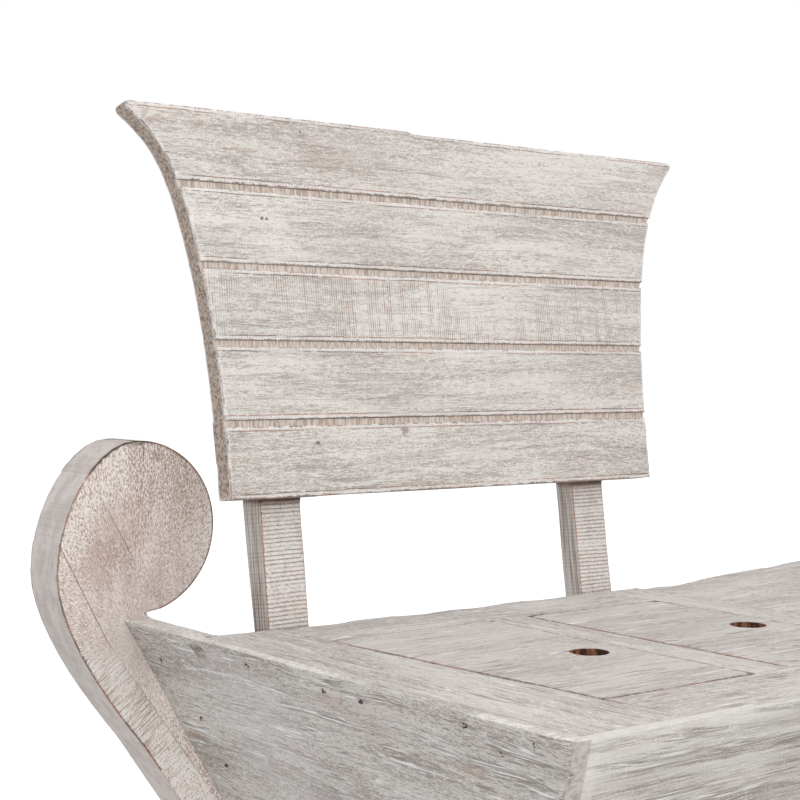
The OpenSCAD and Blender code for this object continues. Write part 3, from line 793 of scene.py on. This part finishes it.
BACK_SPOTS = {
    1: (spot(243, 255.4, 5, 4, KNOT, 0.6), spot(135.1, 244.8, 2.5, 1.6, PIT, 0.8)),
    4: (spot(88.6, 469, 2, 1.4, PIT, 0.8), spot(94.3, 468.4, 1.8, 1.3, PIT, 0.8)),
    5: (spot(144.2, 559.4, 1.3, 1.3, PIT, 0.8), spot(144.6, 522, 1.2, 0.9, PIT, 0.6),
        spot(493.4, 555.7, 7, 3, CHIP, 0.8), spot(-29.8, 561.5, 3.5, 3, KNOT, 0.3),
        spot(-17.4, 557.8, 8, 3, REDDISH, 0.4), spot(68.7, 536.1, 14, 2, REDDISH, 0.4)),
}
SLAB_SPOTS = (
    spot(513.5, 11.6, 14, 8, KNOT, 0.35), spot(507, 7, 4.5, 3, DIRT, 0.8),
    spot(515, 9, 4.5, 3.4, PIT, 0.9), spot(520, 15, 4, 3, DIRT, 0.8),
    spot(510, 16, 4, 3, PIT, 0.8), spot(524, 8, 4, 2.8, PIT, 0.8),
    # The large pale patch is painted light on the slab where the scroll's shadow falls
    spot(470, 90, 110, 100, PAINTED_LIGHT, 0.3), spot(481.7, -1.5, 16, 2.5, REDDISH, 0.5),
    spot(307, 25.9, 22, 8, REDDISH, 0.25), spot(144.1, 58.4, 20, 8, REDDISH, 0.25),
    spot(622, 133, 16, 3, REDDISH, 0.6),
)
SCROLL_SPOTS = (
    spot(166, -10.5, 9, 0.9, DIRT, 0.7), spot(175, -5, 1.4, 8, DIRT, 0.6),
    spot(163, -27, 5, 5, KNOT, 0.35), spot(89.9, 17, 32, 28, REDDISH, 0.3),
    spot(55, 39, 24, 20, REDDISH, 0.35), spot(32.2, -17.9, 14, 7, KNOT, 0.15),
    spot(94.5, 91.8, 2.4, 2.4, PIT, 0.6),
)


def back_wood(number):
    """The boards differ in their saw marks: the third has them nearly everywhere."""
    sawn = number == 3
    return washed_wood(f"back_wash_{number}", saw=0.8 if sawn else 0.25, saw_pitch=2.7 * MM,
                       balance=0.03 if number == 1 else 0.0, threads=(3, 90), thread_share=0.4,
                       saw_cover=(0.38, 0.5) if sawn else (0.5, 0.62), flecks=0.5,
                       ticks=(0.5 * MM, 4.2 * MM, 3.2 * MM, 0.4), bead=(4.6 * MM, 0.75),
                       streaks=(9, 170), dashes=(110, 700), dots=(420, 800), streak_weight=0.34,
                       dash_weight=0.36, dot_weight=0.3, cover=(0.45, 0.63), bareness=0.8,
                       side_light=srgb(182, 168, 157), side_dark=srgb(120, 100, 88),
                       side_scale=(340, 300), white_arris=(3.8 * MM, 0.65),
                       rust_arris=(2 * MM, 0.75) if number in (1, 5) else (1.7 * MM, 0.65),
                       joint_line=(0.9 * MM, 0.6), mark_light=srgb(218, 209, 201),
                       mark_dark=srgb(184, 165, 151), spots=BACK_SPOTS.get(number, ()))


def seat_wood(name, **changes):
    """The seat's boards and lids are worn smooth."""
    return washed_wood(name, dashes=(100, 700), streaks=(8, 140), streak_weight=0.32, dash_weight=0.4,
                       dot_weight=0.28, side_light=srgb(182, 166, 155), side_dark=srgb(134, 112, 99),
                       threads=(3, 70), thread_share=0.9, bare=srgb(158, 147, 140), **changes)


def front_wood():
    """Rough-sawn boards under a thin grey wash."""
    return washed_wood("front_wash", wash=srgb(217, 213, 209), shade=srgb(199, 194, 189),
                       bare=srgb(146, 136, 129), streaks=(5, 90), dashes=(40, 500),
                       streak_weight=0.5, dash_weight=0.3, dot_weight=0.2,
                       white_arris=(4 * MM, 0.35), white_long=True,
                       white_seam=(13 * MM, 0.35), cracks=0.9, joint_line=(0.8 * MM, 0.12),
                       side_light=srgb(214, 208, 202), side_dark=srgb(184, 174, 166),
                       end=(srgb(206, 200, 194), srgb(184, 175, 167)), threads=(2, 45),
                       thread_share=0.75, bump=1.1 * MM)


def slab_wood():
    """The end slabs' grey wash, with a light arris, worn and partly a painted highlight, that is gone over
    part of its length.
    """
    return washed_wood("slab_wash", wash=srgb(208, 204, 200), shade=srgb(194, 189, 185),
                       bare=srgb(142, 133, 128), pink=srgb(192, 179, 175), flecks=0.35,
                       streaks=(10, 200), dashes=(110, 700), dots=(300, 800), streak_weight=0.3,
                       dash_weight=0.4, dot_weight=0.3, cover=(0.47, 0.62), bareness=0.85, cracks=0.5,
                       # The white arris and the light side colour below are partly worn wood, partly a
                       # painted highlight on the slab's top arris
                       white_arris=(2.8 * MM, 0.85), white_long=True, white_gap=(99 * MM, 294 * MM),
                       rust_arris=(1.2 * MM, 0.4), joint_line=(1 * MM, 0.15), balance=0.02,
                       side_light=srgb(238, 234, 229), side_dark=srgb(206, 198, 191),
                       end=(srgb(204, 198, 193), srgb(178, 169, 162)), threads=(2.5, 80),
                       thread_share=0.85, spots=SLAB_SPOTS)


def scroll_wood():
    """The scrolls' thin pinkish wash, with marks that fan out over the face and hatching on the neck."""
    return washed_wood("scroll_wash", wash=srgb(248, 241, 236), shade=srgb(242, 233, 228),
                       bare=srgb(170, 147, 136), pink=srgb(236, 217, 206), pink_share=0.5,
                       streak_weight=0.08, dash_weight=0.7, dot_weight=0.22, bareness=0.9,
                       cover=(0.48, 0.58), flecks=1.0, dots=(600, 900), fan=FAN_START, thread_share=0.0,
                       hatch=0.75, side_light=srgb(206, 199, 196), side_dark=srgb(188, 180, 176),
                       side_scale=(25, 60), white_arris=(2 * MM, 0.2), rust_arris=(2.2 * MM, 0.9),
                       rust_tint=(srgb(152, 108, 88), DIRT), rust_broken=(0.26, 0.38),
                       joint_line=(0.8 * MM, 0.6), cracks=0.0, spots=SCROLL_SPOTS)


def post_wood():
    """The posts' saw marks and rusty arrises."""
    return washed_wood("post_wash", wash=srgb(228, 222, 218), shade=srgb(220, 212, 207), saw=0.85,
                       saw_cover=(0.1, 0.2), saw_line=(0.7, 1.0), saw_rust=0.4, saw_broken=(0.24, 0.42),
                       saw_each=(0.26, 0.5), saw_pitch=4.2 * MM, dashes=(420, 300), bareness=0.45,
                       thread_share=0.0, bare=srgb(136, 123, 115),
                       side_light=srgb(208, 201, 197), side_dark=srgb(132, 119, 112),
                       side_scale=(9, 420), rust_arris=(1.5 * MM, 0.95),
                       rust_tint=(srgb(184, 132, 98), RUST), rust_broken=(0.2, 0.34),
                       # Here mark_light and mark_dark colour the painted shade under the backrest
                       white_arris=(2 * MM, 0.3), mark_light=srgb(118, 98, 87), mark_dark=srgb(84, 66, 57))


def make_materials():
    """Every material, by the short name that the pieces use."""
    woods = {f"back_{n}": back_wood(n) for n in range(1, 6)}
    woods.update({
        "seat": seat_wood("seat_wash", wash=srgb(214, 209, 205), shade=srgb(203, 197, 193),
                          white_arris=(3 * MM, 0.3), joint_line=(0.6 * MM, 0.1)),
        "lid": seat_wood("lid_wash", wash=srgb(210, 204, 200), shade=srgb(201, 195, 191), flecks=0.3,
                         bareness=0.65, white_arris=(2 * MM, 0.2), rust_arris=(1.8 * MM, 0.5),
                         # Here mark_light and mark_dark colour the painted shade in the finger holes
                         mark_light=srgb(146, 98, 74), mark_dark=srgb(66, 42, 32)),
        "front": front_wood(), "slab": slab_wood(), "scroll": scroll_wood(), "post": post_wood(),
        "inner": washed_wood("inner_wood", wash=srgb(198, 188, 179), shade=srgb(184, 171, 160),
                             bare=srgb(138, 118, 104), side_light=srgb(180, 166, 154),
                             side_dark=srgb(132, 112, 99), white_arris=(1 * MM, 0.1), flecks=0.2,
                             pink_share=0.1),
        "iron": iron_material(),
    })
    return woods


# The pieces


def in_groove(point, normal):
    """Marks the floor of the groove between two boards of the backrest."""
    front = (point - Vector((0, BACKREST_Y, 0))).dot(BACK_OUT)
    low, high = GROOVE_FLOOR
    return 1.0 if low < front < high and normal.dot(BACK_OUT) > 0.3 else 0.0


def to_the_tip(point):
    """Draws the backrest's outer upper tip out by a few millimetres."""
    up = (point.z - BACKREST_LIFT) / BACK_HEIGHT
    late = max(0.0, (up - TIP_START) / (1 - TIP_START))
    if point.x >= SEAT_MIDDLE:
        return Vector()
    return Vector((-TIP_REACH * late ** 2, 0, TIP_RISE * late ** 2))


def back_boards(side, woods, seed):
    """The five boards of a backrest; the top one has the drawn-out tip."""
    for number in range(1, 6):
        dress(f"{side}_back_board_{number}", "back_wood", woods[f"back_{number}"], ALONG, BACK_OUT,
              side, seed + number, arris=1.5 * MM, joint_arris=0.25 * MM, cell=(9 * MM, 2.8 * MM),
              corner=0.2 * MM, worn=0.5 * MM, mark=in_groove, push=to_the_tip if number == 5 else None)


def seat_boards(side, woods, seed):
    """The boards round the lids; the back one has a wavy edge."""
    for k, (name, along) in enumerate((("end", DEEP), ("front", ALONG), ("back", ALONG),
                                       ("divider", DEEP), ("inner", DEEP))):
        node = f"{side}_seat_{name}" + ("" if name == "divider" else "_board")
        dress(node, "seat_wood", woods["seat"], along, UP, side, seed + k, arris=1.2 * MM,
              joint_arris=0.2 * MM, wavy_edge=6 * MM if name == "back" else 0.0)


def finger_hole_painted_shade(point, normal):
    """Marks the walls of a lid's finger hole, where the shade in the hole is painted."""
    near = min((Vector((point.x, point.y)) - Vector(middle)).length for middle in HOLE_MIDDLES)
    return 1.0 if near < HOLE_REACH and abs(normal.z) < 0.8 else 0.0


def lids(side, woods, seed):
    """The two lids, a little larger so that their gaps are narrow, with painted shade in their finger
    holes.
    """
    for k, name in enumerate(("outer_lid", "inner_lid")):
        dress(f"{side}_{name}", "seat_wood", woods["lid"], ALONG, UP, side, seed + k,
              # The mark is painted shade in the finger holes
              arris=0.9 * MM, swell=0.3 * MM, worn=0.5 * MM, grow=0.45 * MM, mark=finger_hole_painted_shade)


def end_slab(side, woods, seed):
    """The two planks of the sloping end."""
    for k, name in enumerate(("upper", "lower")):
        dress(f"{side}_end_plank_{name}", "end_wood", woods["slab"], DEEP, END_OUT, side,
              seed + k, arris=2.2 * MM, joint_arris=0.3 * MM)


def front_boards(side, woods, seed):
    """The two sloping front planks, with raised grain."""
    for k, name in enumerate(("upper", "lower")):
        dress(f"{side}_front_plank_{name}", "front_wood", woods["front"], ALONG, FRONT_OUT, side,
              seed + k, arris=2.2 * MM, ridges=0.6 * MM, cell=(12 * MM, 3 * MM))


def scroll(side, woods, seed):
    """The three glued pieces of the scroll."""
    for k, name in enumerate(("outer_plank", "middle_plank", "ear")):
        dress(f"{side}_scroll_{name}", "scroll_wood", woods["scroll"], UP, -DEEP, side,
              seed + k, arris=1.8 * MM, joint_arris=0.1 * MM, cell=(6 * MM, 5 * MM), ridges=0.0,
              worn=0.3 * MM, swell=0.2 * MM)


def painted_shade_under_panel(point, normal):
    """Marks the post close under the backrest for painted shade, the backrest's shadow there, but not on
    its back.
    """
    if normal.dot(BACK_OUT) < -0.5:
        return 0.0
    return max(0.0, 1 - abs(BACKREST_LIFT - point.z) / PAINTED_SHADE_REACH)


def posts(side, woods, seed):
    """The two posts of a backrest, with saw marks, cut where the backrest begins to cover them."""
    for k, name in enumerate(("outer_post", "inner_post")):
        dress(f"{side}_{name}", "post_wood", woods["post"], BACK_UP, BACK_OUT, side, seed + k,
              # The mark is painted shade under the backrest
              arris=1.5 * MM, cell=(2 * MM, 8 * MM), saw=0.15 * MM, mark=painted_shade_under_panel,
              cut=(Vector((0, BACKREST_Y, BACKREST_LIFT)), BACK_UP))


def box_inside(side, woods, seed):
    """The pieces inside and behind the box, in bare wood."""
    for k, (name, along, normal) in enumerate((
            ("end_cleat", END_UP, DEEP), ("rear_planks", ALONG, DEEP), ("bulkhead", DEEP, ALONG),
            ("partition", DEEP, ALONG), ("lid_rails", ALONG, UP))):
        dress(f"{side}_{name}", "inner_wood", woods["inner"], along, normal, side, seed + k,
              cell=(25 * MM, 8 * MM))
    dress(f"{side}_foot", "post_wood", woods["post"], DEEP, ALONG, side, seed + 8, arris=3 * MM,
          cell=(14 * MM, 6 * MM))


def middle_section(woods, seed):
    """The oblique seat between the two, its front and back, and the bottom boards."""
    dress("centre_top_planks", "seat_wood", woods["seat"], ALONG, UP, "left", seed, arris=1.6 * MM,
          wavy_edge=4 * MM)
    for k, name in enumerate(("front", "rear")):
        dress(f"centre_{name}_planks", "front_wood", woods["front"], ALONG, FRONT_OUT, "left",
              seed + 1 + k, arris=2.2 * MM, cell=(16 * MM, 5 * MM))
    dress("bottom_boards", "inner_wood", woods["inner"], ALONG, UP, "left", seed + 4,
          cell=(25 * MM, 8 * MM))


def ironwork(woods):
    """The nails and coach bolts keep their CAD solids and get their finish."""
    for name in ("nails", "post_bolts"):
        node = frame["nodes"][name]
        node.data.materials.clear()
        node.data.materials.append(woods["iron"])


# The studio

# The photograph's view: where the eye is, the way it looks, and the lens, in the image's own pixels
IMAGE = 800
EYE = Vector((-1.6376, -1.0871, 0.696))
LOOK = Vector((0.5906, 0.807, 0.0))
FOCAL_PIXELS = 1544
HORIZON_PIXEL = 374
SENSOR_MM = 36

# Strength of the world's light on the object, and the light that the camera sees
WORLD_LIGHT = 0.78
WHITE_STRENGTH = 1.0
FLOOR_LIFT = 0.5
FLOOR_REACH = 12
FLOOR_COLOUR = (0.8, 0.8, 0.8)

# Where each lamp is, where it points, its size and its power
OVERHEAD_LAMP = ((-0.6, -0.4, 3.2), (-0.3, 0.1, 0.4), 3.0, 15)
FRONT_LAMP = ((-2.2, -2.6, 1.6), (-0.5, 0.0, 0.6), 2.5, 32)


def camera():
    """The photograph's eye, direction, lens and shift."""
    data = bpy.data.cameras.new("camera")
    data.sensor_width = SENSOR_MM
    data.lens = FOCAL_PIXELS * SENSOR_MM / IMAGE
    data.shift_y = (HORIZON_PIXEL - IMAGE / 2) / IMAGE
    view = bpy.data.objects.new("camera", data)
    view.location = EYE
    view.rotation_euler = LOOK.to_track_quat("-Z", "Y").to_euler()
    bpy.context.scene.collection.objects.link(view)
    bpy.context.scene.camera = view


def lamp(name, place, aim, size, power):
    """A soft square lamp."""
    data = bpy.data.lights.new(name, "AREA")
    data.size = size
    data.energy = power
    light = bpy.data.objects.new(name, data)
    light.location = place
    light.rotation_euler = (Vector(aim) - Vector(place)).to_track_quat("-Z", "Y").to_euler()
    bpy.context.scene.collection.objects.link(light)


def white_to_camera(tree, lit, white_strength):
    """Adds light that only the camera, mirrors and glass see, so that the ground looks white."""
    path = tree.nodes.new("ShaderNodeLightPath")
    seen = tree.nodes.new("ShaderNodeMath")
    seen.operation = "MAXIMUM"
    tree.links.new(path.outputs["Is Camera Ray"], seen.inputs[0])
    tree.links.new(path.outputs["Is Glossy Ray"], seen.inputs[1])
    more = tree.nodes.new("ShaderNodeMath")
    more.operation = "MAXIMUM"
    tree.links.new(seen.outputs[0], more.inputs[0])
    tree.links.new(path.outputs["Is Transmission Ray"], more.inputs[1])
    strength = tree.nodes.new("ShaderNodeMapRange")
    tree.links.new(more.outputs[0], strength.inputs["Value"])
    strength.inputs["To Min"].default_value = lit
    strength.inputs["To Max"].default_value = white_strength
    return strength.outputs[0]


def studio():
    """White surroundings, a pale floor that keeps the shadow, and two soft lamps."""
    world = bpy.data.worlds.new("studio")
    world.use_nodes = True
    tree = world.node_tree
    back = tree.nodes["Background"]
    back.inputs["Color"].default_value = (1, 1, 1, 1)
    tree.links.new(white_to_camera(tree, WORLD_LIGHT, WHITE_STRENGTH), back.inputs["Strength"])
    bpy.context.scene.world = world
    bm = bmesh.new()
    bmesh.ops.create_grid(bm, x_segments=2, y_segments=2, size=FLOOR_REACH)
    mesh = bpy.data.meshes.new("floor")
    bm.to_mesh(mesh)
    bm.free()
    floor = bpy.data.objects.new("floor", mesh)
    bpy.context.scene.collection.objects.link(floor)
    s = Shader("pale_floor")
    s.surface.inputs["Base Color"].default_value = (*FLOOR_COLOUR, 1)
    s.surface.inputs["Roughness"].default_value = 0.9
    s.surface.inputs["Emission Color"].default_value = (1, 1, 1, 1)
    s.tree.links.new(white_to_camera(s.tree, 0.0, FLOOR_LIFT), s.surface.inputs["Emission Strength"])
    mesh.materials.append(s.material)
    lamp("overhead", *OVERHEAD_LAMP)
    lamp("front", *FRONT_LAMP)
    bpy.context.scene.view_settings.view_transform = "Standard"


# Where each side's grain starts in the pattern, and the step from one group of pieces to the next
SIDE_SEEDS = {"left": 10, "right": 110}
MIDDLE_SEED = 210
SEED_STEP = 10


def main():
    """Dresses both sides and the middle, and sets up the studio."""
    woods = make_materials()
    groups = (back_boards, seat_boards, lids, end_slab, front_boards, scroll, posts, box_inside)
    for side, seed in SIDE_SEEDS.items():
        for k, group in enumerate(groups):
            group(side, woods, seed + SEED_STEP * k)
    middle_section(woods, MIDDLE_SEED)
    ironwork(woods)
    studio()
    camera()


main()
